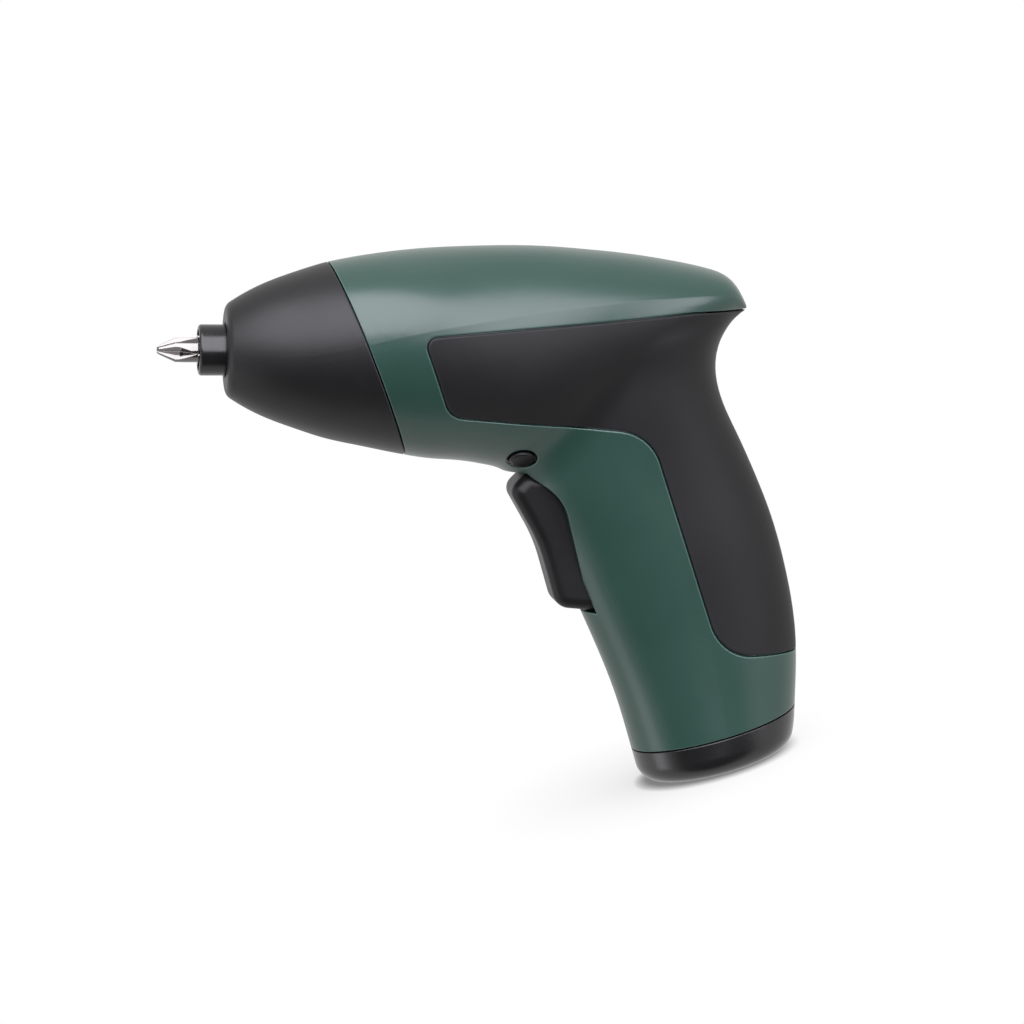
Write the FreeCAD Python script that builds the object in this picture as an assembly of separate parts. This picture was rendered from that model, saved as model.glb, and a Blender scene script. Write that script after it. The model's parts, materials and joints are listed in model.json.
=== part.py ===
import FreeCAD, Part
import math
import os

Vec = FreeCAD.Vector

# Overall body, millimetres, with the drive axis along X and the nose face at X = 0
NOSE_TO_TAIL = 125.2
CROWN_HEIGHT = 25.3
BELLY_DEPTH = 28.6
BARREL_HALF_WIDTH = 24.2
TAIL_SEAM_HEIGHT = 10.5
HANDLE_DROP = 98.0
HANDLE_HALF_WIDTH = 16.8
UPPER_LEAN = 27.0
LOWER_LEAN = 17.0
WEB_FILLET = 14.0
NOSE_EDGE = 2.6
WALL = 2.4

# Seams between the casing pieces
SEAM_GAP = 0.4
LIP_WALL = 1.4
LIP_LENGTH = 4.0
NOSE_SEAM_X = 32.9
NOSE_SEAM_LEAN = 22.0
CAP_HEIGHT = 9.2
CAP_EDGE = 5.0
CAP_FLOOR = 2.2
PARTING_WIDTH = 0.3
PARTING_DEPTH = 0.4

# Clearances
FIT = 0.1
RUN_FIT = 0.04
PLAY = 0.35

# Soft grips
GRIP_DEPTH = 1.2
GRIP_GROOVE = 0.5
GRIP_FRONT_CORNER = 2.2
GRIP_LOWER_CORNER = 5.0
GRIP_BEND = 50.0
GRIP_HEEL = 11.0
GRIP_CROTCH = 12.0

# Nose and spindle
NOSE_FACE_WALL = 3.0
NOSE_RECESS_RADIUS = 6.7
NOSE_RECESS_DEPTH = 1.0
NOSE_HUB_RADIUS = 9.6
COLLAR_RADIUS = 6.1
COLLAR_REACH = 6.4
COLLAR_EDGE = 0.8
COLLAR_MOUTH_RADIUS = 5.0
COLLAR_MOUTH_DEPTH = 1.2
STEM_RADIUS = 5.0
STEM_END_RADIUS = 4.4
BUSH_RADIUS = 7.4
BUSH_LENGTH = 11.0
CLIP_RADIUS = 6.5
CLIP_THICKNESS = 0.8
CLIP_GROOVE_DEPTH = 0.5
CLIP_MOUTH = 5.0

# Bit and its magnet
BIT_ACROSS_FLATS = 6.35
BIT_LENGTH = 24.5
BIT_TIP_REACH = 16.2
BIT_NECK_RADIUS = 2.95
BIT_NECK_LENGTH = 5.3
BIT_POINT_LENGTH = 3.9
BIT_POINT_RADIUS = 1.05
BIT_TIP_LENGTH = 0.4
BIT_TIP_RADIUS = 0.7
BIT_FLUTE_ROOT = 0.5
BIT_FLUTE_SLOPE = 5.0
BIT_RUNOUT_ROOT = 1.0
BIT_RUNOUT_START = 5.6
BIT_RUNOUT_SLOPE = 26.0
BIT_FLUTE_TURN = -32.0
BIT_CHAMFER = 0.6
MAGNET_RADIUS = 2.9
MAGNET_LENGTH = 4.0
MAGNET_STANDOFF = 0.3

# Planetary gears
GEAR_MODULE = 0.7
PRESSURE_ANGLE = 25.0
SUN_TEETH = 9
PLANET_TEETH = 15
RING_TEETH = 39
PLANET_COUNT = 3
ADDENDUM_SHARE = 0.8
DEDENDUM_SHARE = 1.05
BACKLASH = 0.12
GEAR_CASE_RADIUS = 16.5
GEAR_CASE_WALL = 1.7
GEAR_CASE_FRONT = 20.5
GEAR_CASE_STEM_GAP = 0.4
SLEEVE_WALL = 1.8
OUTPUT_DISC = 3.6
FIRST_DISC = 2.6
PLANET_WIDTH = 5.8
PLANET_SIDE_GAP = 0.4
PLANET_PIN_RADIUS = 1.6
CARRIER_RIM_GAP = 0.5

# Motor
PLATE_THICKNESS = 2.5
PLATE_HOLE_RADIUS = 4.2
MOTOR_RADIUS = 12.2
MOTOR_LENGTH = 31.0
MOTOR_WALL = 1.0
MOTOR_BOSS_HOLE = 2.2
BELL_LENGTH = 4.6
MAGNET_ARC_THICKNESS = 1.7
MAGNET_ARC_DEGREES = 130.0
AIR_GAP = 0.5
MAGNET_END_ROOM = 4.0
ARMATURE_SLOTS = 5
ARMATURE_SLOT_WIDTH = 1.6
ARMATURE_SLOT_DEPTH = 3.4
SHAFT_RADIUS = 1.15
SHAFT_TAIL = 1.2

# Trigger
TRIGGER_REACH = 30.0
TRIGGER_HALF_WIDTH = 7.0
TRIGGER_PIN_X = 82.0
TRIGGER_PIN_DROP = 32.6
TRIGGER_PIN_RADIUS = 1.2
TRIGGER_BOSS_RADIUS = 3.2
TRIGGER_LIP_ROUND = 3.2
TRIGGER_CURVE = 40.0
TRIGGER_TOE_ROUND = 4.2
TRIGGER_EDGE = 3.0
TRIGGER_SWING = 3.4
TRIGGER_RELIEF_ROUND = 12.0
PIN_BOSS_RADIUS = 3.0
SLOT_TOP_DROP = 28.9

# Trigger spring and switch
SPRING_RADIUS = 2.2
SPRING_WIRE = 0.3
SPRING_TURNS = 5
SPRING_DROP = 50.0
SPRING_NIB_RADIUS = 1.5
SPRING_NIB_LENGTH = 1.4
SWITCH_X = 91.8
SWITCH_DEPTH = 8.4
SWITCH_HALF_WIDTH = 6.0
SWITCH_TOP_DROP = 38.0
SWITCH_HEIGHT = 17.0
SWITCH_EDGE = 0.8

# Direction button
BUTTON_X = 70.3
BUTTON_DROP = 24.9
BUTTON_HALF_LENGTH = 3.1
BUTTON_HALF_HEIGHT = 2.0
BUTTON_PROUD = 0.9
BUTTON_EDGE = 0.6
BUTTON_GAP = 0.5

# Battery and electronics
CELL_RADIUS = 9.2
CELL_LENGTH = 65.0
CELL_EDGE = 0.8
CELL_BASE_LIFT = 7.2
CELL_BACK_SHIFT = 4.6
TAB_WIDTH = 7.0
TAB_LENGTH = 15.0
TAB_THICKNESS = 0.4
BOARD_THICKNESS = 1.6
BOARD_HALF_WIDTH = 9.0
BOARD_LENGTH = 22.0
BOARD_STANDOFF = 4.0
BOARD_LIFT = 3.0
CONTACT_WIDTH = 3.0
CONTACT_LENGTH = 8.0
CONTACT_THICKNESS = 1.6
CONTACT_SPACING = 12.0

# Ribs, bosses and screws
RIB = 2.0
RIB_DROP = 17.5
CELL_RIB_REACH = 17.0
SCREW_RADIUS = 1.3
SCREW_HEAD_RADIUS = 2.6
SCREW_HEAD_HEIGHT = 1.8
SCREW_BITE = 8.0
SCREW_SEAT = 5.0
SCREW_RECESS = 1.0
SCREW_RECESS_WIDTH = 0.7
BOSS_RADIUS = 3.6
HEAD_BOSS_RADIUS = 4.4

# Shares of each ring of the barrel: length, crown, belly, then width, height and lean of its flank line
nose_shares = (
    (0.000, 0.427, 0.378, 0.446, 0.00, 0.00),
    (0.018, 0.483, 0.428, 0.505, 0.00, 0.00),
    (0.066, 0.613, 0.542, 0.641, 0.00, 0.00),
    (0.143, 0.757, 0.669, 0.791, 0.04, 0.00),
    (0.184, 0.820, 0.727, 0.858, 0.12, 0.00),
)
barrel_shares = (
    (0.256, 0.893, 0.797, 0.938, 0.33, 0.00),
    (0.335, 0.947, 0.867, 0.994, 0.56, 0.08),
    (0.415, 0.980, 0.913, 0.985, 0.74, 0.50),
    (0.495, 0.996, 0.955, 0.956, 0.90, 0.88),
    (0.575, 1.000, 1.000, 0.925, 1.060, 1.00),
    (0.671, 0.976, 0.839, 0.883, 1.200, 1.00),
    (0.767, 0.933, 0.559, 0.810, 1.310, 1.00),
    (0.847, 0.877, 0.210, 0.718, 1.360, 1.00),
    (0.9065, 0.822, -0.07, 0.616, 1.380, 1.00),
)
tail_shares = (
    (0.9465, 0.771, -0.21, 0.514, 1.367, 0.90),
    (0.970, 0.711, -0.28, 0.422, 1.320, 0.75),
    (0.990, 0.593, -0.325, 0.312, 1.170, 0.50),
    (1.000, 0.498, -0.35, 0.230, 1.070, 0.30),
)

# Shares: front length and drop, back length and drop, and width of each ring of the handle
handle_shares = (
    (0.559, -0.128, 0.986, -0.128, 0.89),
    (0.551, -0.087, 0.984, -0.087, 1.07),
    (0.551, -0.046, 0.963, -0.046, 1.17),
    (0.555, 0.020, 0.949, 0.020, 1.14),
    (0.561, 0.102, 0.960, 0.106, 1.09),
    (0.561, 0.204, 0.996, 0.204, 1.04),
    (0.573, 0.316, 1.035, 0.308, 1.01),
    (0.627, 0.459, 1.072, 0.424, 1.00),
    (0.683, 0.612, 1.102, 0.557, 0.99),
    (0.736, 0.759, 1.121, 0.689, 1.00),
    (0.776, 0.888, 1.125, 0.801, 1.03),
)
base_shares = (0.8035, 1.000, 1.124, 0.880, 1.065)
foot_shares = (0.825, 1.113, 1.114, 0.998, 1.07)

# Shares: length and drop of the corners of the grip's outline, seen from the side
grip_shares = (
    (0.357, -0.0505),
    (0.879, -0.1066),
    (1.300, -0.1050),
    (1.300, 0.740),
    (0.9505, 0.737),
    (0.802, 0.182),
    (0.413, 0.1413),
)

# Shares: corners of the trigger's side outline about its pin, as parts of its reach
trigger_shares = (
    (-0.100, 0.107),
    (-0.330, 0.115),
    (-0.463, -0.020),
    (-0.210, -0.457),
    (-0.055, -0.977),
    (0.300, -1.010),
    (0.160, -0.700),
    (0.107, -0.100),
)
trigger_heel_share, trigger_back_share = trigger_shares[5:7]
relief_shares = (
    (-0.343, 0.123),
    (-0.047, -0.067),
    (0.200, -0.963),
    (0.200, -1.015),
    (-0.533, -1.015),
    (-0.533, 0.123),
)

# Shares: length and drop of the housing screws
screw_shares = ((0.495, -0.178), (0.847, -0.150), (0.447, 0.204), (0.797, 0.608), (0.812, 0.868))
round_share = 0.5523
touch_share = 0.00001
cell_rib_shares = (0.2, 0.8)
motor_rib_shares = (0.15, 0.5, 0.85)

REACH = NOSE_TO_TAIL + HANDLE_DROP
AXIS = Vec(1, 0, 0)
SIDE = Vec(0, 1, 0)
UP = Vec(0, 0, 1)
ORIGIN = Vec(0, 0, 0)


def box(x0, x1, y0, y1, z0, z1):
    return Part.makeBox(x1 - x0, y1 - y0, z1 - z0, Vec(x0, y0, z0))


def rod(radius, x0, x1):
    """Cylinder on the drive axis."""
    return Part.makeCylinder(radius, x1 - x0, Vec(x0, 0, 0), AXIS)


def tube(outer, inner, x0, x1):
    return rod(outer, x0, x1).cut(rod(inner, x0, x1))


def cross_rod(radius, x, z, y0, y1):
    """Cylinder across the tool."""
    return Part.makeCylinder(radius, y1 - y0, Vec(x, y0, z), SIDE)


def beyond(point, direction):
    """Everything on the far side of a plane, as a block larger than the tool."""
    block = Part.makeBox(2 * REACH, 2 * REACH, 2 * REACH, Vec(-REACH, -REACH, 0))
    block.Placement = FreeCAD.Placement(point, FreeCAD.Rotation(UP, direction))
    return block


def slab(point, direction, thickness):
    return beyond(point, direction).common(beyond(point + direction * thickness, direction * -1))


def bezier(*poles):
    curve = Part.BezierCurve()
    curve.setPoles(list(poles))
    return curve.toShape()


def oval_ring(first, last, flank, side, width, upper_lean, lower_lean):
    """Closed ring of four quarter curves through two ends and two flank points that lean above and below."""
    to_first = (first - flank) * round_share
    to_last = (last - flank) * round_share
    out = side * width
    inward = side * (to_first.Length * math.tan(math.radians(upper_lean)))
    outward = side * (to_last.Length * math.tan(math.radians(lower_lean)))
    edges = []
    for hand in (-1, 1):
        corner = flank + out * hand
        reach = out * (hand * round_share)
        edges.append(bezier(first, first + reach, corner + to_first - inward * hand, corner))
        edges.append(bezier(corner, corner + to_last + outward * hand, last + reach, last))
    return Part.Wire(Part.__sortEdges__(edges))


def barrel_ring(shares, inset):
    x = NOSE_TO_TAIL * shares[0]
    crown = Vec(x, 0, CROWN_HEIGHT * shares[1] - inset)
    belly = Vec(x, 0, inset - BELLY_DEPTH * shares[2])
    flank = Vec(x, 0, TAIL_SEAM_HEIGHT * shares[4])
    width = BARREL_HALF_WIDTH * shares[3] - inset
    return oval_ring(crown, belly, flank, SIDE, width, UPPER_LEAN * shares[5], LOWER_LEAN * shares[5])


def handle_ends(shares):
    front = Vec(NOSE_TO_TAIL * shares[0], 0, -HANDLE_DROP * shares[1])
    back = Vec(NOSE_TO_TAIL * shares[2], 0, -HANDLE_DROP * shares[3])
    return front, back


def handle_ring(shares, inset):
    front, back = handle_ends(shares)
    along = (back - front).normalize()
    front = front + along * inset
    back = back - along * inset
    return oval_ring(front, back, (front + back) * 0.5, SIDE, HANDLE_HALF_WIDTH * shares[4] - inset, 0, 0)


def barrel(inset, rows):
    return Part.makeLoft([barrel_ring(row, inset) for row in rows], True)


def handle(inset):
    rows = handle_shares + (base_shares, foot_shares)
    return Part.makeLoft([handle_ring(row, inset) for row in rows], True)


def casing(inset):
    """The tool's whole form, taken in by an inset, without the hollow at the thumb or the tail's tip."""
    return barrel(inset, nose_shares + barrel_shares).fuse(handle(inset))


def outer_casing():
    """The outer form: barrel and handle joined by a rounded hollow."""
    tube_part = barrel(0, nose_shares + barrel_shares + tail_shares)
    grip_part = handle(0)
    joined = tube_part.fuse(grip_part)
    near = REACH * touch_share
    crossing = []
    for edge in joined.Edges:
        middle = Part.Vertex(edge.valueAt((edge.FirstParameter + edge.LastParameter) / 2))
        if tube_part.distToShape(middle)[0] < near and grip_part.distToShape(middle)[0] < near:
            crossing.append(edge)
    return joined.makeFillet(WEB_FILLET, crossing)


def nose_form():
    """The barrel's form without its lean, with a soft front edge."""
    form = barrel(0, [row[:5] + (0,) for row in nose_shares + barrel_shares])
    front = [edge for edge in form.Edges if edge.BoundBox.XMax < REACH * touch_share]
    return form.makeFillet(NOSE_EDGE, front)


def outline(corners, radii):
    """Closed outline in the side view, with an arc of its own radius at each corner."""
    edges = []
    starts = []
    ends = []
    count = len(corners)
    for i in range(count):
        here = corners[i]
        back = (corners[i - 1] - here).normalize()
        ahead = (corners[(i + 1) % count] - here).normalize()
        half = back.getAngle(ahead) / 2
        trim = radii[i] / math.tan(half)
        bisector = (back + ahead).normalize()
        depth = radii[i] / math.sin(half) - radii[i]
        starts.append(here + back * trim)
        ends.append(here + ahead * trim)
        if radii[i] > 0:
            edges.append(Part.Arc(starts[i], here + bisector * depth, ends[i]).toShape())
    for i in range(count):
        edges.append(Part.LineSegment(ends[i], starts[(i + 1) % count]).toShape())
    return Part.Wire(Part.__sortEdges__(edges))


def across(wire, half_width):
    """Solid made by drawing a side outline across the tool, both ways."""
    face = Part.Face(wire)
    face.translate(SIDE * -half_width)
    return face.extrude(SIDE * (2 * half_width))


def side_point(share_pair):
    return Vec(NOSE_TO_TAIL * share_pair[0], 0, -HANDLE_DROP * share_pair[1])


def grip_prism(spread):
    """Block with the grip's side outline, widened all round by a gap."""
    radii = [GRIP_FRONT_CORNER, GRIP_BEND, 0, 0, GRIP_HEEL, GRIP_CROTCH, GRIP_LOWER_CORNER]
    wire = outline([side_point(pair) for pair in grip_shares], radii)
    if spread > 0:
        wire = wire.makeOffset2D(spread)
    return across(wire, BARREL_HALF_WIDTH * 2)


# Named planes and places that several pieces share
lean = math.radians(NOSE_SEAM_LEAN)
nose_seam = Vec(NOSE_SEAM_X, 0, 0)
rearward = Vec(math.cos(lean), 0, math.sin(lean))
base_front, base_back = handle_ends(base_shares)
base_along = (base_back - base_front).normalize()
base_up = Vec(-base_along.z, 0, base_along.x)
base_middle = (base_front + base_back) * 0.5
output_disc_x = GEAR_CASE_FRONT + GEAR_CASE_WALL + PLANET_SIDE_GAP
second_planet_x = output_disc_x + OUTPUT_DISC + PLANET_SIDE_GAP
first_disc_x = second_planet_x + PLANET_WIDTH + PLANET_SIDE_GAP
first_planet_x = first_disc_x + FIRST_DISC + PLANET_SIDE_GAP
gear_case_back = first_planet_x + PLANET_WIDTH + PLANET_SIDE_GAP
motor_x = gear_case_back + PLATE_THICKNESS
bell_x = motor_x + MOTOR_LENGTH
pin_z = -TRIGGER_PIN_DROP
cell_base = base_middle + base_up * CELL_BASE_LIFT + base_along * CELL_BACK_SHIFT
sun_radius = GEAR_MODULE * SUN_TEETH / 2
planet_radius = GEAR_MODULE * PLANET_TEETH / 2
ring_radius = GEAR_MODULE * RING_TEETH / 2
orbit_radius = sun_radius + planet_radius
addendum = GEAR_MODULE * ADDENDUM_SHARE
dedendum = GEAR_MODULE * DEDENDUM_SHARE
carrier_radius = ring_radius - addendum - CARRIER_RIM_GAP
bush_x = NOSE_RECESS_DEPTH
bush_back = bush_x + BUSH_LENGTH
bit_back = BIT_LENGTH - BIT_TIP_REACH


def involute(angle):
    return math.tan(angle) - angle


def gear_outline(teeth, tip, root, thickness, x):
    """Gear outline square to the drive axis, one tooth pointing up, each flank one arc of an involute."""
    pressure = math.radians(PRESSURE_ANGLE)
    pitch = GEAR_MODULE * teeth / 2
    base = pitch * math.cos(pressure)
    foot = max(root, base)

    def half_angle(radius):
        return thickness / (2 * pitch) + involute(pressure) - involute(math.acos(base / radius))

    def at(radius, angle):
        return Vec(x, radius * math.sin(angle), radius * math.cos(angle))

    edges = []
    step = 2 * math.pi / teeth
    middle = (foot + tip) / 2
    for i in range(teeth):
        centre = i * step
        for hand in (-1, 1):
            low = at(foot, centre + hand * half_angle(foot))
            high = at(tip, centre + hand * half_angle(tip))
            edges.append(Part.Arc(low, at(middle, centre + hand * half_angle(middle)), high).toShape())
            if root < base:
                edges.append(Part.LineSegment(at(root, centre + hand * half_angle(foot)), low).toShape())
        tip_ends = [at(tip, centre + hand * half_angle(tip)) for hand in (-1, 1)]
        edges.append(Part.Arc(tip_ends[0], at(tip, centre), tip_ends[1]).toShape())
        leave = centre + half_angle(foot)
        arrive = centre + step - half_angle(foot)
        edges.append(Part.Arc(at(root, leave), at(root, centre + step / 2), at(root, arrive)).toShape())
    return Part.Wire(Part.__sortEdges__(edges))


def gear(teeth, x0, x1, bore):
    pitch = GEAR_MODULE * teeth / 2
    thickness = math.pi * GEAR_MODULE / 2 - BACKLASH / 2
    wire = gear_outline(teeth, pitch + addendum, pitch - dedendum, thickness, x0)
    solid = Part.Face(wire).extrude(AXIS * (x1 - x0))
    if bore > 0:
        solid = solid.cut(rod(bore, x0, x1))
    return solid


def turned(shape, index, count):
    copy = shape.copy()
    copy.rotate(ORIGIN, AXIS, 360.0 * index / count)
    return copy


def orbit_copies(shape):
    """Copies of a shape drawn on the axis, moved out to each planet's place."""
    shape = shape.copy()
    shape.translate(UP * orbit_radius)
    return [turned(shape, i, PLANET_COUNT) for i in range(PLANET_COUNT)]


def hex_rod(across_flats, x0, x1):
    corner = across_flats / math.sqrt(3)
    points = []
    for i in range(7):
        angle = math.pi * i / 3
        points.append(Vec(x0, corner * math.sin(angle), corner * math.cos(angle)))
    return Part.Face(Part.makePolygon(points)).extrude(AXIS * (x1 - x0))


# Casing
def trigger_slot():
    """Opening in the handle's front for the trigger and its swing."""
    half = TRIGGER_HALF_WIDTH + PLAY
    heel_drop = TRIGGER_PIN_DROP - TRIGGER_REACH * trigger_heel_share[1]
    front = TRIGGER_PIN_X - TRIGGER_REACH
    back = TRIGGER_PIN_X + TRIGGER_REACH * trigger_heel_share[0] + TRIGGER_SWING + PLAY
    return box(front, back, -half, half, -heel_drop - PLAY, -SLOT_TOP_DROP)


def pin_points(shares):
    """Points of the side view that are given about the trigger's pin."""
    pin = Vec(TRIGGER_PIN_X, 0, pin_z)
    return [pin + AXIS * (TRIGGER_REACH * x) + UP * (TRIGGER_REACH * z) for x, z in shares]


def trigger_relief():
    """Hollow across the handle's front that shows the trigger's sides."""
    wire = outline(pin_points(relief_shares), [0, TRIGGER_RELIEF_ROUND, 0, 0, 0, 0])
    return across(wire, HANDLE_HALF_WIDTH)


def button_bar(spread, half_width):
    ellipse = Part.Ellipse(ORIGIN, BUTTON_HALF_LENGTH + spread, BUTTON_HALF_HEIGHT + spread)
    face = Part.Face(Part.Wire(ellipse.toShape()))
    face.rotate(ORIGIN, AXIS, 90)
    face.translate(Vec(BUTTON_X, -half_width, -BUTTON_DROP))
    return face.extrude(SIDE * (2 * half_width))


def cell_rod(radius, start, length):
    return Part.makeCylinder(radius, length, cell_base + base_up * start, base_up)


def cell_block(along0, along1, half_width, up0, up1):
    """Block square to the battery cell, measured from the middle of its base."""
    block = box(along0, along1, -half_width, half_width, up0, up1)
    turn = FreeCAD.Rotation(AXIS, base_along)
    block.Placement = FreeCAD.Placement(cell_base, turn)
    return block


def board_block(spread):
    front = -CELL_RADIUS - BOARD_STANDOFF
    return cell_block(front - BOARD_THICKNESS - spread, front + spread, BOARD_HALF_WIDTH + spread,
                      BOARD_LIFT - spread, BOARD_LIFT + BOARD_LENGTH + spread)


def switch_block(spread):
    return box(SWITCH_X - spread, SWITCH_X + SWITCH_DEPTH + spread,
               -SWITCH_HALF_WIDTH - spread, SWITCH_HALF_WIDTH + spread,
               -SWITCH_TOP_DROP - SWITCH_HEIGHT - spread, spread - SWITCH_TOP_DROP)


def ribs(hollow):
    """Walls across the hollow, cut out for the motor, the cell, the board and the switch."""
    pieces = []
    for share in motor_rib_shares:
        x = motor_x + MOTOR_LENGTH * share
        wall = box(x, x + RIB, -BARREL_HALF_WIDTH, BARREL_HALF_WIDTH, -RIB_DROP, CROWN_HEIGHT)
        pieces.append(wall.common(hollow).cut(rod(MOTOR_RADIUS + FIT, x, x + RIB)))
    for share in cell_rib_shares:
        start = CELL_LENGTH * share
        wall = cell_block(-CELL_RIB_REACH, 2 * CELL_RIB_REACH, BARREL_HALF_WIDTH, start, start + RIB)
        wall = wall.common(hollow).cut(cell_rod(CELL_RADIUS + FIT, start, RIB))
        pieces.append(wall.cut([board_block(FIT), switch_block(FIT)]))
    shelf = box(SWITCH_X, SWITCH_X + SWITCH_DEPTH, -BARREL_HALF_WIDTH, BARREL_HALF_WIDTH,
                -SWITCH_TOP_DROP - SWITCH_HEIGHT - RIB, -SWITCH_TOP_DROP - SWITCH_HEIGHT + RIB)
    cell_room = cell_rod(CELL_RADIUS + PLAY, 0, CELL_LENGTH)
    pieces.append(shelf.common(hollow).cut([switch_block(FIT), cell_room]))
    return pieces


def screw_place(pair):
    point = side_point(pair)
    return point.x, point.z


def screw_bosses(hollow, hand):
    """Posts for the screws: blind on the left side, with a seat for the head on the right."""
    posts = []
    for pair in screw_shares:
        x, z = screw_place(pair)
        if hand < 0:
            post = cross_rod(BOSS_RADIUS, x, z, -BARREL_HALF_WIDTH, 0)
        else:
            post = cross_rod(HEAD_BOSS_RADIUS, x, z, 0, BARREL_HALF_WIDTH)
        posts.append(post.common(hollow))
    reach = BARREL_HALF_WIDTH * hand
    low, high = min(0, reach), max(0, reach)
    pin_post = cross_rod(PIN_BOSS_RADIUS, TRIGGER_PIN_X, pin_z, low, high)
    inner = TRIGGER_HALF_WIDTH + PLAY
    clear = box(0, REACH, -inner, inner, -REACH, REACH)
    posts.append(pin_post.common(hollow).cut(clear))
    return posts


def screw_holes(hand):
    holes = []
    for pair in screw_shares:
        x, z = screw_place(pair)
        if hand < 0:
            holes.append(cross_rod(SCREW_RADIUS + RUN_FIT, x, z, -SCREW_BITE - PLAY, 0))
        else:
            holes.append(cross_rod(SCREW_RADIUS + FIT, x, z, 0, SCREW_SEAT))
            holes.append(cross_rod(SCREW_HEAD_RADIUS + FIT, x, z, SCREW_SEAT, 2 * BARREL_HALF_WIDTH))
    pin_reach = pin_half_length() + RUN_FIT
    holes.append(cross_rod(TRIGGER_PIN_RADIUS + RUN_FIT, TRIGGER_PIN_X, pin_z, -pin_reach, pin_reach))
    return holes


def pin_half_length():
    return TRIGGER_HALF_WIDTH + PLAY + WALL


def housing_half(shell, hollow, hand):
    half = shell.common(beyond(ORIGIN, SIDE * hand))
    keep = hollow.common(beyond(ORIGIN, SIDE * hand))
    half = half.fuse([piece.common(keep) for piece in ribs(hollow)] + screw_bosses(keep, hand))
    return half.cut(screw_holes(hand))


def grip_half(skin, hand):
    return skin.common(beyond(SIDE * (hand * PARTING_WIDTH / 2), SIDE * hand))


def nose_cone(outer, thick_hollow, lip):
    front = outer.common(beyond(nose_seam - rearward * (SEAM_GAP / 2), rearward * -1))
    hollow = thick_hollow.common(beyond(Vec(NOSE_FACE_WALL, 0, 0), AXIS))
    shell = front.cut(hollow)
    hub = rod(NOSE_HUB_RADIUS, NOSE_FACE_WALL, bush_back)
    bore = GEAR_CASE_RADIUS + FIT
    sleeve = rod(bore + SLEEVE_WALL, GEAR_CASE_FRONT, gear_case_back)
    seat = tube(bore + SLEEVE_WALL, NOSE_HUB_RADIUS, GEAR_CASE_FRONT - GEAR_CASE_WALL, GEAR_CASE_FRONT)
    band = lip.common(slab(nose_seam - rearward * LIP_WALL, rearward, LIP_LENGTH + LIP_WALL))
    solid = shell.fuse([hub.common(outer), sleeve, seat, band])
    solid = solid.cut(rod(bore, GEAR_CASE_FRONT, gear_case_back))
    solid = solid.cut(rod(NOSE_RECESS_RADIUS, 0, bush_x))
    return solid.cut(rod(BUSH_RADIUS + FIT / 2, bush_x, bush_back))


def base_cap(outer, thick_hollow, lip):
    bottom = base_middle - base_up * CAP_HEIGHT
    block = outer.common(slab(bottom, base_up, CAP_HEIGHT - SEAM_GAP / 2))
    floor_edges = []
    near = REACH * touch_share
    for edge in block.Edges:
        ends = [edge.valueAt(edge.FirstParameter), edge.valueAt(edge.LastParameter)]
        if all(abs((end - bottom).dot(base_up)) < near for end in ends):
            floor_edges.append(edge)
    block = block.makeFillet(CAP_EDGE, floor_edges)
    hollow = thick_hollow.common(beyond(bottom + base_up * CAP_FLOOR, base_up))
    band = lip.common(slab(base_middle - base_up * LIP_WALL, base_up, LIP_LENGTH + LIP_WALL))
    solid = block.cut(hollow).fuse(band)
    return solid.cut([contact_block(hand, FIT / 2) for hand in (-1, 1)])


def contact_block(hand, spread):
    """Charge contact let into the underside of the base."""
    bottom = base_middle - base_up * CAP_HEIGHT
    block = box(-CONTACT_LENGTH / 2 - spread, CONTACT_LENGTH / 2 + spread,
                -CONTACT_WIDTH / 2 - spread, CONTACT_WIDTH / 2 + spread, 0, CONTACT_THICKNESS + spread)
    place = bottom + SIDE * (hand * CONTACT_SPACING / 2)
    block.Placement = FreeCAD.Placement(place, FreeCAD.Rotation(AXIS, base_along))
    return block


# Drive train
def bit_holder():
    collar = rod(COLLAR_RADIUS, -COLLAR_REACH, 0)
    rim = [edge for edge in collar.Edges if edge.BoundBox.XMax < -COLLAR_REACH / 2]
    collar = collar.makeFillet(COLLAR_EDGE, rim)
    stem = rod(STEM_RADIUS, 0, output_disc_x)
    tail = rod(STEM_END_RADIUS, output_disc_x, output_disc_x + OUTPUT_DISC)
    solid = collar.fuse([stem, tail])
    mouth = rod(COLLAR_MOUTH_RADIUS, -COLLAR_REACH, COLLAR_MOUTH_DEPTH - COLLAR_REACH)
    socket = hex_rod(BIT_ACROSS_FLATS + 2 * RUN_FIT, -COLLAR_REACH, bit_back + MAGNET_STANDOFF)
    pocket = rod(MAGNET_RADIUS + RUN_FIT, bit_back, magnet_x() + MAGNET_LENGTH + RUN_FIT)
    groove_x = bush_back + PLAY
    groove = tube(STEM_RADIUS, STEM_RADIUS - CLIP_GROOVE_DEPTH, groove_x, groove_x + CLIP_THICKNESS + FIT)
    return solid.cut([mouth, socket, pocket, groove])


def magnet_x():
    return bit_back + MAGNET_STANDOFF


def spindle_clip():
    x = bush_back + PLAY + FIT / 2
    ring = tube(CLIP_RADIUS, STEM_RADIUS - CLIP_GROOVE_DEPTH + RUN_FIT, x, x + CLIP_THICKNESS)
    mouth = box(x, x + CLIP_THICKNESS, -CLIP_MOUTH / 2, CLIP_MOUTH / 2, 0, CLIP_RADIUS)
    return ring.cut(mouth)


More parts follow.
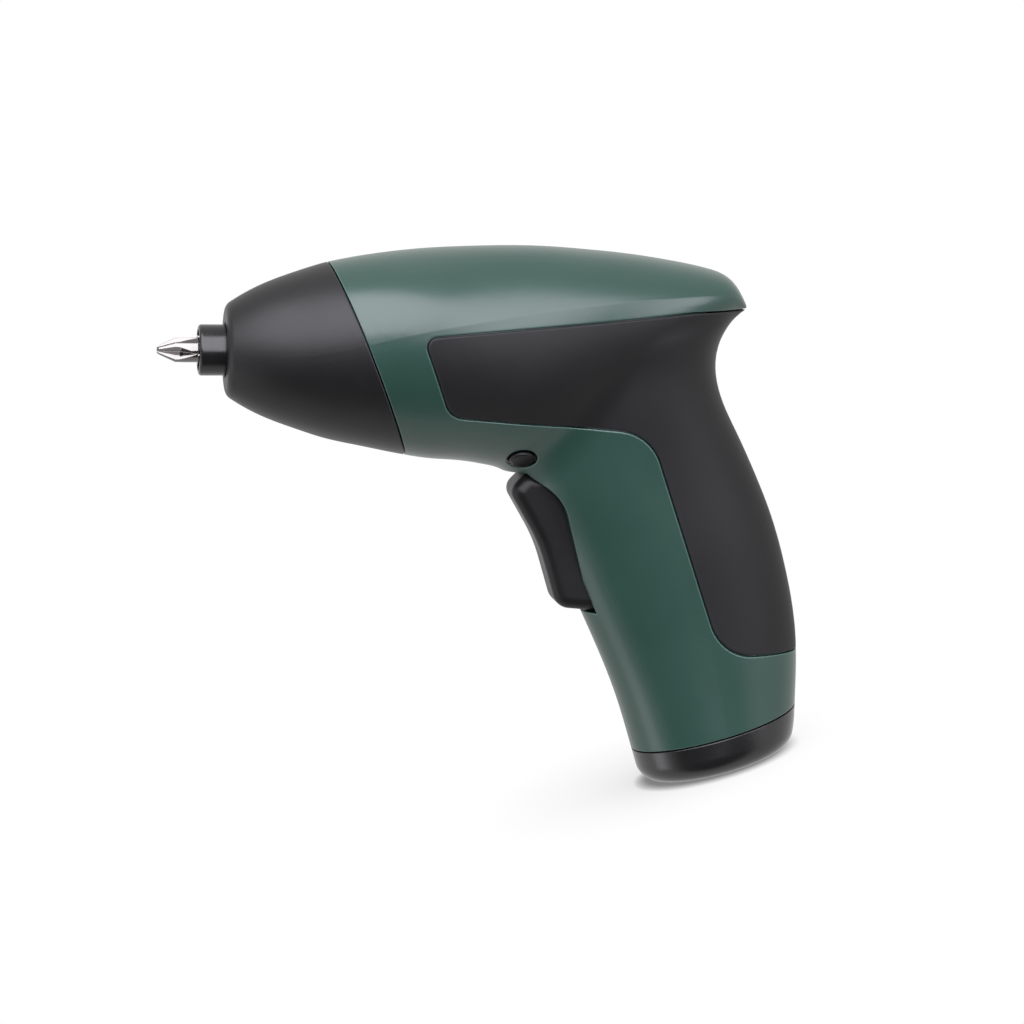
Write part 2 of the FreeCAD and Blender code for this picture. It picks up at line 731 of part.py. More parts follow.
def screwdriver_bit():
    """Six-sided shank, round neck and a cross point whose four flutes run out in the neck."""
    point_x = BIT_TIP_LENGTH - BIT_TIP_REACH
    neck_x = point_x + BIT_POINT_LENGTH
    shank_x = neck_x + BIT_NECK_LENGTH
    shank = hex_rod(BIT_ACROSS_FLATS, shank_x, bit_back)
    corner = BIT_ACROSS_FLATS / math.sqrt(3)
    taper = Part.makeCone(corner, corner - BIT_CHAMFER, BIT_CHAMFER, Vec(bit_back - BIT_CHAMFER, 0, 0), AXIS)
    shank = shank.common(rod(corner, shank_x, bit_back - BIT_CHAMFER).fuse(taper))
    neck = rod(BIT_NECK_RADIUS, neck_x, shank_x)
    point = Part.makeCone(BIT_POINT_RADIUS, BIT_NECK_RADIUS, BIT_POINT_LENGTH, Vec(point_x, 0, 0), AXIS)
    tip = Part.makeCone(BIT_TIP_RADIUS, BIT_POINT_RADIUS, BIT_TIP_LENGTH, Vec(-BIT_TIP_REACH, 0, 0), AXIS)
    groove = bit_wedge(-BIT_TIP_REACH, BIT_FLUTE_ROOT, BIT_FLUTE_SLOPE)
    runout = bit_wedge(BIT_RUNOUT_START - BIT_TIP_REACH, BIT_RUNOUT_ROOT, BIT_RUNOUT_SLOPE)
    flute = groove.common(runout)
    flute.rotate(ORIGIN, AXIS, 45 + BIT_FLUTE_TURN)
    return shank.fuse([neck, point, tip]).cut([turned(flute, i, 4) for i in range(4)])


def bit_wedge(x, root, slope):
    """Square bar on its corner above a line that passes a root point and rises towards the shank."""
    bar = Part.makeBox(2 * BIT_LENGTH, BIT_LENGTH, BIT_LENGTH, Vec(-BIT_LENGTH, 0, 0))
    bar.rotate(ORIGIN, AXIS, 45)
    bar.rotate(ORIGIN, SIDE, -slope)
    bar.translate(Vec(x, 0, root))
    return bar


def gear_case():
    case = rod(GEAR_CASE_RADIUS, GEAR_CASE_FRONT, gear_case_back)
    case = case.cut(rod(STEM_RADIUS + GEAR_CASE_STEM_GAP, GEAR_CASE_FRONT, gear_case_back))
    start = GEAR_CASE_FRONT + GEAR_CASE_WALL
    space = math.pi * GEAR_MODULE / 2 + BACKLASH / 2
    wire = gear_outline(RING_TEETH, ring_radius + dedendum, ring_radius - addendum, space, start)
    return case.cut(Part.Face(wire).extrude(AXIS * (gear_case_back - start)))


def planet_pins(x0, x1):
    return Part.makeCompound(orbit_copies(rod(PLANET_PIN_RADIUS, x0, x1)))


def planets(x):
    return orbit_copies(gear(PLANET_TEETH, x, x + PLANET_WIDTH, PLANET_PIN_RADIUS + RUN_FIT))


def carrier(x, thickness):
    disc = rod(carrier_radius, x, x + thickness)
    return disc.cut(orbit_copies(rod(PLANET_PIN_RADIUS + RUN_FIT / 2, x, x + thickness)))


def first_carrier():
    sun = gear(SUN_TEETH, second_planet_x, first_disc_x, 0)
    return carrier(first_disc_x, FIRST_DISC).fuse(sun)


def output_carrier():
    bore = rod(STEM_END_RADIUS + RUN_FIT / 2, output_disc_x, second_planet_x)
    return carrier(output_disc_x, OUTPUT_DISC).cut(bore)


# Motor
def motor_can():
    can = tube(MOTOR_RADIUS, MOTOR_RADIUS - MOTOR_WALL, motor_x, bell_x)
    return can.fuse(tube(MOTOR_RADIUS, MOTOR_BOSS_HOLE, motor_x, motor_x + MOTOR_WALL))


def motor_end_bell():
    bell = rod(MOTOR_RADIUS, bell_x, bell_x + BELL_LENGTH)
    rim = [edge for edge in bell.Edges if edge.BoundBox.XMin > bell_x + BELL_LENGTH / 2]
    bell = bell.makeFillet(MOTOR_WALL, rim)
    return bell.cut(rod(SHAFT_RADIUS + RUN_FIT, bell_x, bell_x + BELL_LENGTH))


def motor_magnets():
    outer = MOTOR_RADIUS - MOTOR_WALL - RUN_FIT
    x0 = motor_x + MAGNET_END_ROOM
    x1 = bell_x - MAGNET_END_ROOM
    arc = Part.makeCylinder(outer, x1 - x0, Vec(x0, 0, 0), AXIS, MAGNET_ARC_DEGREES)
    arc = arc.cut(rod(outer - MAGNET_ARC_THICKNESS, x0, x1))
    return Part.makeCompound([arc, turned(arc, 1, 2)])


def motor_armature():
    radius = MOTOR_RADIUS - MOTOR_WALL - RUN_FIT - MAGNET_ARC_THICKNESS - AIR_GAP
    x0 = motor_x + MAGNET_END_ROOM
    x1 = bell_x - MAGNET_END_ROOM
    core = tube(radius, SHAFT_RADIUS + RUN_FIT / 2, x0, x1)
    half = ARMATURE_SLOT_WIDTH / 2
    slot = box(x0, x1, -half, half, radius - ARMATURE_SLOT_DEPTH, radius)
    pocket = Part.makeCylinder(ARMATURE_SLOT_WIDTH, x1 - x0, Vec(x0, 0, radius - ARMATURE_SLOT_DEPTH), AXIS)
    cut = slot.fuse(pocket)
    return core.cut([turned(cut, i, ARMATURE_SLOTS) for i in range(ARMATURE_SLOTS)])


# Controls
def trigger_outline():
    """Side outline of the trigger: lip under the belly, hollow finger curve, rounded toe, straight back."""
    radii = [0, TRIGGER_LIP_ROUND, TRIGGER_LIP_ROUND, TRIGGER_CURVE, TRIGGER_TOE_ROUND, 0, 0, 0]
    return outline(pin_points(trigger_shares), radii)


def trigger():
    half = TRIGGER_HALF_WIDTH
    body = across(trigger_outline(), half)
    finger = [edge for edge in body.Edges if is_finger_edge(edge)]
    body = body.makeFillet(TRIGGER_EDGE, finger)
    boss = cross_rod(TRIGGER_BOSS_RADIUS, TRIGGER_PIN_X, pin_z, -half, half)
    nib = rod(SPRING_NIB_RADIUS, spring_front(), spring_front() + SPRING_NIB_LENGTH)
    nib.translate(UP * -SPRING_DROP)
    root = rod(SPRING_NIB_RADIUS, TRIGGER_PIN_X, spring_front())
    root.translate(UP * -SPRING_DROP)
    hole = cross_rod(TRIGGER_PIN_RADIUS + RUN_FIT, TRIGGER_PIN_X, pin_z, -half, half)
    return body.fuse([boss, nib, root]).cut(hole)


def is_finger_edge(edge):
    """True for the side edges of the trigger's face, from its lip to its toe."""
    bounds = edge.BoundBox
    return bounds.YLength < TRIGGER_EDGE and bounds.XMax < TRIGGER_PIN_X + TRIGGER_EDGE


def spring_front():
    """Where the spring meets the trigger's back."""
    return TRIGGER_PIN_X + TRIGGER_REACH * trigger_back_share[0]


def trigger_spring():
    start = spring_front() + SPRING_WIRE + PLAY
    end = SWITCH_X - SPRING_WIRE - RUN_FIT
    helix = Part.makeHelix((end - start) / SPRING_TURNS, end - start, SPRING_RADIUS)
    profile = Part.Wire(Part.makeCircle(SPRING_WIRE, Vec(SPRING_RADIUS, 0, 0), SIDE))
    coil = Part.Wire(helix.Edges).makePipeShell([profile], True, True)
    coil.rotate(ORIGIN, SIDE, 90)
    coil.translate(Vec(start, 0, -SPRING_DROP))
    return coil


def direction_button():
    """Oval bar through the belly, with rounded ends that stand a little proud of the casing."""
    bar = button_bar(0, 2 * BARREL_HALF_WIDTH).common(casing(-BUTTON_PROUD))
    ends = [edge for edge in bar.Edges if edge.BoundBox.YLength < BARREL_HALF_WIDTH]
    return bar.makeFillet(BUTTON_EDGE, ends)


def switch_body():
    block = switch_block(0)
    edges = [edge for edge in block.Edges if edge.BoundBox.YLength > SWITCH_HALF_WIDTH]
    return block.makeFillet(SWITCH_EDGE, edges)


# Power and fasteners
def battery_cell():
    cell = cell_rod(CELL_RADIUS, 0, CELL_LENGTH)
    return cell.makeFillet(CELL_EDGE, cell.Edges[:1] + cell.Edges[2:])


def battery_tabs():
    tabs = []
    for start in (-TAB_THICKNESS, CELL_LENGTH):
        tabs.append(cell_block(-TAB_LENGTH / 2, TAB_LENGTH / 2, TAB_WIDTH / 2, start, start + TAB_THICKNESS))
    return Part.makeCompound(tabs)


def housing_screws():
    screws = []
    for pair in screw_shares:
        x, z = screw_place(pair)
        shank = cross_rod(SCREW_RADIUS, x, z, -SCREW_BITE, SCREW_SEAT)
        top = SCREW_SEAT + SCREW_HEAD_HEIGHT
        head = cross_rod(SCREW_HEAD_RADIUS, x, z, SCREW_SEAT, top)
        long_half = SCREW_HEAD_RADIUS - SCREW_RECESS_WIDTH
        short_half = SCREW_RECESS_WIDTH / 2
        cross = [
            box(x - long_half, x + long_half, top - SCREW_RECESS, top, z - short_half, z + short_half),
            box(x - short_half, x + short_half, top - SCREW_RECESS, top, z - long_half, z + long_half),
        ]
        screws.append(shank.fuse(head).cut(cross))
    return Part.makeCompound(screws)


def casing_pieces():
    outer = outer_casing()
    hollow = casing(WALL)
    thick_hollow = casing(WALL + LIP_WALL)
    lip = casing(WALL + FIT).cut(thick_hollow)
    behind = beyond(nose_seam + rearward * (SEAM_GAP / 2), rearward)
    above = beyond(base_middle + base_up * (SEAM_GAP / 2), base_up)
    middle = outer.common(behind).common(above)
    room = hollow.common(behind).common(above)
    parting = box(0, 2 * NOSE_TO_TAIL, -PARTING_WIDTH / 2, PARTING_WIDTH / 2, -REACH, REACH)
    shell = middle.cut(hollow)
    shell = shell.cut(parting.cut(casing(PARTING_DEPTH)))
    recess = grip_prism(GRIP_GROOVE).cut(casing(GRIP_DEPTH + FIT))
    button_hole = button_bar(BUTTON_GAP, 2 * BARREL_HALF_WIDTH)
    shell = shell.cut([recess, trigger_slot(), trigger_relief(), button_hole])
    skin = middle.common(grip_prism(0)).cut(casing(GRIP_DEPTH))
    return {
        "left_housing": housing_half(shell, room, -1),
        "right_housing": housing_half(shell, room, 1),
        "left_grip": grip_half(skin, -1),
        "right_grip": grip_half(skin, 1),
        "nose_cone": nose_cone(nose_form(), thick_hollow, lip),
        "base_cap": base_cap(outer, thick_hollow, lip),
        "direction_button": direction_button(),
    }


def drive_pieces():
    pieces = {
        "bit_holder": bit_holder(),
        "spindle_bush": tube(BUSH_RADIUS, STEM_RADIUS + RUN_FIT, bush_x, bush_back),
        "spindle_clip": spindle_clip(),
        "bit_magnet": rod(MAGNET_RADIUS, magnet_x(), magnet_x() + MAGNET_LENGTH),
        "screwdriver_bit": screwdriver_bit(),
        "gear_case": gear_case(),
        "output_carrier": output_carrier(),
        "output_planet_pins": planet_pins(output_disc_x, second_planet_x + PLANET_WIDTH),
        "first_carrier": first_carrier(),
        "first_planet_pins": planet_pins(first_disc_x, first_planet_x + PLANET_WIDTH),
        "motor_plate": tube(GEAR_CASE_RADIUS, PLATE_HOLE_RADIUS, gear_case_back, motor_x),
        "motor_can": motor_can(),
        "motor_end_bell": motor_end_bell(),
        "motor_magnets": motor_magnets(),
        "motor_armature": motor_armature(),
        "motor_shaft": rod(SHAFT_RADIUS, first_planet_x, bell_x + BELL_LENGTH + SHAFT_TAIL),
        "motor_pinion": gear(SUN_TEETH, first_planet_x, gear_case_back, SHAFT_RADIUS + RUN_FIT / 2),
    }
    for name, x in (("first", first_planet_x), ("second", second_planet_x)):
        for letter, planet in zip("abc", planets(x)):
            pieces[name + "_planet_" + letter] = planet
    return pieces


def handle_pieces():
    reach = pin_half_length()
    return {
        "trigger": trigger(),
        "trigger_pin": cross_rod(TRIGGER_PIN_RADIUS, TRIGGER_PIN_X, pin_z, -reach, reach),
        "trigger_spring": trigger_spring(),
        "switch_body": switch_body(),
        "circuit_board": board_block(0),
        "battery_cell": battery_cell(),
        "battery_tabs": battery_tabs(),
        "charge_contacts": Part.makeCompound([contact_block(hand, 0) for hand in (-1, 1)]),
        "housing_screws": housing_screws(),
    }


os.makedirs("parts", exist_ok=True)
pieces = {}
pieces.update(casing_pieces())
pieces.update(drive_pieces())
pieces.update(handle_pieces())
for name in sorted(pieces):
    shape = pieces[name]
    shape.exportStep("parts/" + name + ".step")
    print(name, len(shape.Solids), shape.isValid(), round(shape.Volume, 1))
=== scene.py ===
# %% [markdown]
# # A cordless screwdriver, from solid model to picture
#
# The shapes, sizes and joints of this tool are already fixed in its solid model. This lesson loads
# that model, gives every piece the finish of the real one, and sets up a studio like the one that
# such a tool is photographed in. The pieces could be copied and placed by hand, but each of them
# already stands where the model puts it. So nothing is moved here.

# %% Load the imported model
import json
import math

import bpy
from mathutils import Matrix, Quaternion, Vector


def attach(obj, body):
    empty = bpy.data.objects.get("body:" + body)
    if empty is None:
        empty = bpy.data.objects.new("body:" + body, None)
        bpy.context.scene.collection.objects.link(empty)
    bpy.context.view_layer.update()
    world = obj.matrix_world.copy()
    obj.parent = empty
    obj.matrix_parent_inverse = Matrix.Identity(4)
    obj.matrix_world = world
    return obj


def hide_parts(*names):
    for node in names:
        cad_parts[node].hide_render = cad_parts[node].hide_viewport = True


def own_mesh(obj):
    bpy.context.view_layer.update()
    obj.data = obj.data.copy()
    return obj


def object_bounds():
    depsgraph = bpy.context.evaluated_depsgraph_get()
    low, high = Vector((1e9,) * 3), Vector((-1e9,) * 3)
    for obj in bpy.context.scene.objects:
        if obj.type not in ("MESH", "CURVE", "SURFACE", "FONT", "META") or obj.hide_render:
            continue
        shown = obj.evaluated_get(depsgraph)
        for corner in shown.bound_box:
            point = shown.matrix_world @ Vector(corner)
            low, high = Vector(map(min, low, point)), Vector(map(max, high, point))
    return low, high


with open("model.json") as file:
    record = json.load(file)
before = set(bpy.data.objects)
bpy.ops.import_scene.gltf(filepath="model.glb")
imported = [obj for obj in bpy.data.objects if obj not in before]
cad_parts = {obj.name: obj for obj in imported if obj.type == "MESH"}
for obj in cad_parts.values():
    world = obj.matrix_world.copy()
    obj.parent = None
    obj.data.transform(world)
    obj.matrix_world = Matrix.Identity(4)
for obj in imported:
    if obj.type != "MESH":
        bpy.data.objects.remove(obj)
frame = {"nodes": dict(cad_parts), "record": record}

pieces = frame["nodes"]
solid_low, solid_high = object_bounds()

# %% [markdown]
# ## The camera
#
# A small tool is photographed from a step away with a long lens, so that its near side isn't
# swollen. The camera looks at the left side from a little in front of it and a little above it.
# A Track To constraint could aim it, but the view is built from three directions instead, because
# the small roll of the photograph can then be set as one more angle.

# %% Camera at the photograph's angle
turn, lift, roll = math.radians(-9.0), math.radians(8.0), math.radians(1.0)
camera_place = Vector((-0.074198, -0.908907, 0.090109))
sensor_mm, lens_mm = 36.0, 135.0
rightward = Vector((math.cos(turn), math.sin(turn), 0.0))
toward_viewer = Vector((math.sin(turn), -math.cos(turn), 0.0))
backward = toward_viewer * math.cos(lift) + Vector((0.0, 0.0, math.sin(lift)))
upward = backward.cross(rightward)
camera_right = rightward * math.cos(roll) + upward * math.sin(roll)
camera_up = upward * math.cos(roll) - rightward * math.sin(roll)
camera_data = bpy.data.cameras.new("product_camera")
camera_data.sensor_width = sensor_mm
camera_data.lens = lens_mm
camera = bpy.data.objects.new("product_camera", camera_data)
bpy.context.scene.collection.objects.link(camera)
view_axes = Matrix((camera_right, camera_up, backward)).transposed()
camera.matrix_world = Matrix.Translation(camera_place) @ view_axes.to_4x4()
bpy.context.scene.camera = camera
print("camera", [round(v, 3) for v in camera.matrix_world.translation])

# %% [markdown]
# ## The floor
#
# The tool stands on its base, and the base face isn't square to the barrel. A level floor could be
# drawn and the tool tipped to stand on it, but a piece of the model is never moved. So the floor
# is tipped instead: a flat oval that lies along the base face. It is seen by the camera alone,
# because what the tool reflects is painted on the world further down.

# %% Floor along the base face
base_face = next(m for m in frame["record"]["mounts"] if m["name"] == "base_face")
base_middle, base_down = Vector(base_face["pos_m"]), Vector(base_face["axis"])
floor_up, sideways = -base_down, Vector((0.0, 1.0, 0.0))
floor_along = Vector((floor_up.z, 0.0, -floor_up.x))
floor_long, floor_wide = 0.065, 0.100
floor_gap, floor_shift = 0.0002, 0.015
rim_count = 96
rim_angles = [math.tau * i / rim_count for i in range(rim_count)]
rim = [(floor_long * math.cos(a), floor_wide * math.sin(a), 0.0) for a in rim_angles]
floor_mesh = bpy.data.meshes.new("studio_floor")
floor_mesh.from_pydata(rim, [], [tuple(range(rim_count))])
floor = bpy.data.objects.new("studio_floor", floor_mesh)
floor_axes = Matrix((floor_along, sideways, floor_up)).transposed()
floor_middle = base_middle + base_down * floor_gap - floor_along * floor_shift
floor.matrix_world = Matrix.Translation(floor_middle) @ floor_axes.to_4x4()
bpy.context.scene.collection.objects.link(floor)
floor.visible_diffuse = floor.visible_glossy = False
floor.visible_transmission = floor.visible_shadow = False
print("floor tilted by", round(math.degrees(math.asin(base_down.x)), 1), "degrees")

# %% [markdown]
# ## Node trees
#
# The floor's paint, the surroundings and every finish are trees of nodes. Such a tree could be laid
# out by hand in the Shader Editor. In a script, small helpers keep a node and its values on one
# line and its links in a list, so that a tree can be read from top to bottom.


# %% Helpers for node trees
def fill(node, values):
    """Sets the inputs of a node by name, with an underscore for each space."""
    for name, value in values.items():
        node.inputs[name.replace("_", " ")].default_value = value


def add(tree, kind, operation=None, **values):
    """A shader node of one kind, with values for its inputs."""
    node = tree.nodes.new("ShaderNode" + kind)
    if operation:
        node.operation = operation
    fill(node, values)
    return node


def wire(tree, *links):
    """Links nodes. Each link is a node, its output, the next node and that one's input."""
    for source, output, target, slot in links:
        tree.links.new(source.outputs[output], target.inputs[slot])


SECOND = 1  # the second input of a math node, which has the first one's name
print("helpers", fill.__name__, add.__name__, wire.__name__)

# %% [markdown]
# ## The floor's paint
#
# The picture has a plain white ground with only a soft shadow where the base stands. A lit floor
# with a real shadow could give that, but its white would never quite meet the white of the sky.
# So the floor glows, and ambient occlusion darkens it. Two reaches of occlusion are multiplied, a
# short one for the dark line under the base and a long faint one. Both look towards the back
# right, so that the shadow falls to the front left, and both fade out towards the rim. From below
# the floor can be seen through, so that it never hides the base.

# %% White paint with a soft shadow
reaches_and_greys = ((0.004, 0.30), (0.050, 0.72))
covered, open_sky = 0.25, 0.92
fade_start, fade_end = 0.55, 0.97
lean_along, lean_aside = 0.7, 0.35
occlusion_samples = 24
shadow_lean = (floor_up + floor_along * lean_along - sideways * lean_aside).normalized()

floor_paint = bpy.data.materials.new("studio_white")
floor_paint.use_nodes = True
tree = floor_paint.node_tree
tree.nodes.clear()
lean = add(tree, "CombineXYZ", X=shadow_lean.x, Y=shadow_lean.y, Z=shadow_lean.z)
shadow = add(tree, "Math", "MULTIPLY")
for slot, (reach, grey) in enumerate(reaches_and_greys):
    occlusion = add(tree, "AmbientOcclusion", Distance=reach)
    occlusion.samples = occlusion_samples
    shade = add(tree, "MapRange", From_Min=covered, From_Max=open_sky, To_Min=grey)
    wire(tree,
         (lean, "Vector", occlusion, "Normal"),
         (occlusion, "AO", shade, "Value"),
         (shade, "Result", shadow, slot))
spot = add(tree, "TexCoord")
rim_share = add(tree, "VectorMath", "DIVIDE")
rim_share.inputs[SECOND].default_value = (floor_long, floor_wide, 1.0)
outward = add(tree, "VectorMath", "LENGTH")
fade = add(tree, "MapRange", From_Min=fade_start, From_Max=fade_end)
fade.interpolation_type = "SMOOTHSTEP"
whiten = add(tree, "Mix", B=1.0)
glow = add(tree, "Emission")
underside, unseen = add(tree, "NewGeometry"), add(tree, "BsdfTransparent")
one_sided, surface = add(tree, "MixShader"), add(tree, "OutputMaterial")
front_side, back_side = 1, 2
wire(tree,
     (spot, "Object", rim_share, 0),
     (rim_share, "Vector", outward, 0),
     (outward, "Value", fade, "Value"),
     (fade, "Result", whiten, "Factor"),
     (shadow, "Value", whiten, "A"),
     (whiten, "Result", glow, "Color"),
     (underside, "Backfacing", one_sided, "Fac"),
     (glow, "Emission", one_sided, front_side),
     (unseen, "BSDF", one_sided, back_side),
     (one_sided, "Shader", surface, "Surface"))
floor_mesh.materials.append(floor_paint)
print("floor paint with", len(reaches_and_greys), "reaches of shadow")

# %% [markdown]
# ## The surroundings
#
# A tool in a studio mirrors white paper behind, beside, above and below it, and a dark room round
# the camera. Sheets of paper could be modelled, but then they would have to be hidden from
# the camera one by one. Here the room is painted on the world. The dark part is a cone about the
# camera's direction, drawn out upward and downward, and the camera itself sees plain white.

# %% White paper and a dark room
height_share = 0.48
dark_inside, white_outside = 0.78, 0.38
room_glow, paper_glow = 0.096, 0.92
white = (1.0, 1.0, 1.0, 1.0)

studio = bpy.data.worlds.new("studio")
studio.use_nodes = True
bpy.context.scene.world = studio
tree = studio.node_tree
tree.nodes.clear()
direction = add(tree, "TexCoord")
flatter = add(tree, "VectorMath", "MULTIPLY")
flatter.inputs[SECOND].default_value = (1.0, 1.0, height_share)
length_one = add(tree, "VectorMath", "NORMALIZE")
toward_camera = add(tree, "VectorMath", "DOT_PRODUCT")
toward_camera.inputs[SECOND].default_value = toward_viewer
backdrop = add(tree, "MapRange", From_Min=dark_inside, From_Max=white_outside,
               To_Min=room_glow, To_Max=paper_glow)
backdrop.interpolation_type = "SMOOTHSTEP"
seen = add(tree, "LightPath")
choice = add(tree, "Mix", B=1.0)
sky = add(tree, "Background", Color=white)
out = add(tree, "OutputWorld")
wire(tree,
     (direction, "Generated", flatter, 0),
     (flatter, "Vector", length_one, 0),
     (length_one, "Vector", toward_camera, 0),
     (toward_camera, "Value", backdrop, "Value"),
     (backdrop, "Result", choice, "A"),
     (seen, "Is Camera Ray", choice, "Factor"),
     (choice, "Result", sky, "Strength"),
     (sky, "Background", out, "Surface"))
bpy.context.scene.view_settings.view_transform = "Standard"
print("world", studio.name, "from", room_glow, "to", paper_glow)

# %% [markdown]
# ## The lights
#
# One broad softbox above and left of the camera draws the pale band along the nose and barrel. A
# small one at the right carries that band on to the tail, where the flank turns away, and a low
# tall one at the left lights the front edge of the handle. More lamps could fill the rest, but the
# white paper does that already, and no lamp leaves a mark of its own on the crown.

# %% Softboxes
tool_middle = (solid_low + solid_high) / 2
lamp_distance = 1.0
lamp_tint = (1.0, 0.985, 1.06)


def softbox(name, azimuth, elevation, width, height, power, dip=0.0):
    """A lamp that faces the tool. Azimuth 0 is the camera's side, dip lowers its right end."""
    a, e = math.radians(azimuth), math.radians(elevation)
    away = Vector((math.sin(a) * math.cos(e), -math.cos(a) * math.cos(e), math.sin(e)))
    lamp_data = bpy.data.lights.new(name, "AREA")
    lamp_data.shape = "RECTANGLE"
    lamp_data.size, lamp_data.size_y = width, height
    lamp_data.energy = power
    lamp_data.color = lamp_tint
    lamp = bpy.data.objects.new(name, lamp_data)
    lamp.location = tool_middle + away * lamp_distance
    lamp.rotation_mode = "QUATERNION"
    dipped = Quaternion((0, 0, 1), -math.radians(dip))
    lamp.rotation_quaternion = away.to_track_quat("Z", "Y") @ dipped
    bpy.context.scene.collection.objects.link(lamp)


softbox("broad_softbox", azimuth=-20, elevation=40, width=1.6, height=1.22, power=40.0, dip=18)
softbox("tail_softbox", azimuth=46, elevation=17, width=0.5, height=0.42, power=3.6)
softbox("front_softbox", azimuth=-86, elevation=-18, width=0.35, height=0.8, power=1.4)

# %% [markdown]
# ## Effects that several finishes share
#
# Moulded plastic carries the grain of its mould, every edge of a handled tool is rounded, a little
# worn and given a painted highlight, and cut metal shows where the cutter went. Each effect could
# be drawn again in every material. A node group with its own inputs is drawn once and placed in
# each of them instead.


# %% Helpers for node groups
def new_group(name, inputs, outputs):
    """An empty shader node group with named sockets; returns it, its input and its output."""
    group = bpy.data.node_groups.new(name, "ShaderNodeTree")
    for label, kind, value in inputs:
        socket = group.interface.new_socket(label, in_out="INPUT", socket_type=kind)
        socket.default_value = value
    for label, kind in outputs:
        group.interface.new_socket(label, in_out="OUTPUT", socket_type=kind)
    return group, group.nodes.new("NodeGroupInput"), group.nodes.new("NodeGroupOutput")


def place(tree, group, **values):
    """One use of a node group in a material, with its own values."""
    node = add(tree, "Group")
    node.node_tree = group
    fill(node, values)
    return node


NUMBER, ARROW = "NodeSocketFloat", "NodeSocketVector"
print("helpers", new_group.__name__, place.__name__)

# %% [markdown]
# ## Mould grain
#
# A spark-eroded mould leaves pits of a third of a millimetre on plastic, and the colour drifts
# slowly over the surface. A picture of such grain could be wrapped round the pieces, but it would
# need unwrapping and show seams. Two noises in the piece's own coordinates have none: fine pits
# give the relief, and slow clouds give the tone.

# %% Moulded grain
grain_group, grain_in, grain_out = new_group(
    "moulded_grain",
    [("Grain", NUMBER, 3000.0), ("Blotch", NUMBER, 40.0)],
    [("Height", NUMBER), ("Tone", NUMBER)])
coords = add(grain_group, "TexCoord")
pits = add(grain_group, "TexNoise", Detail=2.0, Roughness=0.6)
clouds = add(grain_group, "TexNoise", Detail=3.0, Roughness=0.55)
wire(grain_group,
     (coords, "Object", pits, "Vector"),
     (grain_in, "Grain", pits, "Scale"),
     (pits, "Fac", grain_out, "Height"),
     (coords, "Object", clouds, "Vector"),
     (grain_in, "Blotch", clouds, "Scale"),
     (clouds, "Fac", grain_out, "Tone"))
print("group", grain_group.name)

# %% [markdown]
# ## Rounded edges with wear and a painted highlight
#
# No edge of a moulded piece is sharp, and hands rub it a little paler. Each edge could get a real
# bevel, but the solids stay as they are. The Bevel node rounds the normal near an edge instead.
# Where this normal differs from the true one there must be an edge, so the same node also gives a
# mask.
# The paler colour laid along that mask is a little wear and mostly a painted highlight.

# %% Rounded edges, with wear and a painted highlight
bevel_samples = 6
flat_alike, edge_alike = 0.995, 0.80
edge_group, edge_in, edge_out = new_group(
    "rounded_edges_highlight_and_wear",
    [("Radius", NUMBER, 0.0004), ("Amount", NUMBER, 1.0)],
    [("Edge", NUMBER), ("Normal", ARROW)])
rounding = add(edge_group, "Bevel")
rounding.samples = bevel_samples
facing = add(edge_group, "NewGeometry")
alike = add(edge_group, "VectorMath", "DOT_PRODUCT")
# The mask of the edges: the paler colour laid along it is a little wear and mostly a painted
# highlight.
highlight_and_wear_mask = add(edge_group, "MapRange", From_Min=flat_alike, From_Max=edge_alike)
strength = add(edge_group, "Math", "MULTIPLY")
wire(edge_group,
     (edge_in, "Radius", rounding, "Radius"),
     (rounding, "Normal", alike, 0),
     (facing, "Normal", alike, SECOND),
     (alike, "Value", highlight_and_wear_mask, "Value"),
     (highlight_and_wear_mask, "Result", strength, 0),
     (edge_in, "Amount", strength, SECOND),
     (strength, "Value", edge_out, "Edge"),
     (rounding, "Normal", edge_out, "Normal"))
print("group", edge_group.name)

# %% [markdown]
# ## Tool streaks
#
# A turned or ground surface has fine lines that run the way the tool went. A Wave texture could
# draw them, but its lines are too even. A noise whose coordinates are squeezed in one direction
# draws uneven streaks, and a second, coarser noise stains them.

# %% Streaks of turned and ground metal
streak_group, streak_in, streak_out = new_group(
    "tool_streaks",
    [("Along", ARROW, (1.0, 1.0, 1.0)), ("Fineness", NUMBER, 600.0)],
    [("Height", NUMBER), ("Tone", NUMBER)])
coords = add(streak_group, "TexCoord")
stretch = add(streak_group, "VectorMath", "MULTIPLY")
lines = add(streak_group, "TexNoise", Detail=4.0, Roughness=0.65)
stain = add(streak_group, "TexNoise", Scale=180.0, Detail=2.0)
blend = add(streak_group, "Math", "MULTIPLY")
wire(streak_group,
     (coords, "Object", stretch, 0),
     (streak_in, "Along", stretch, SECOND),
     (stretch, "Vector", lines, "Vector"),
     (streak_in, "Fineness", lines, "Scale"),
     (coords, "Object", stain, "Vector"),
     (lines, "Fac", blend, 0),
     (stain, "Fac", blend, SECOND),
     (lines, "Fac", streak_out, "Height"),
     (blend, "Value", streak_out, "Tone"))
print("group", streak_group.name)

# %% [markdown]
# ## What all finishes have in common
#
# Plastics and metals differ in their texture, not in how it is used: two close tones are mixed by
# the texture, the roughness follows it, and its relief is a bump on top of the rounded normal.
# Each material could be wired by itself, but one recipe keeps the finishes a family.


# %% The common recipe
COLOUR_A, COLOUR_B, COLOUR_OUT = 6, 7, 2


def mix_colours(tree, below, above):
    """A Mix node for colours. Its colour sockets go by place, because their names repeat."""
    node = add(tree, "Mix")
    node.data_type = "RGBA"
    node.inputs[COLOUR_A].default_value = (*below, 1.0)
    node.inputs[COLOUR_B].default_value = (*above, 1.0)
    return node


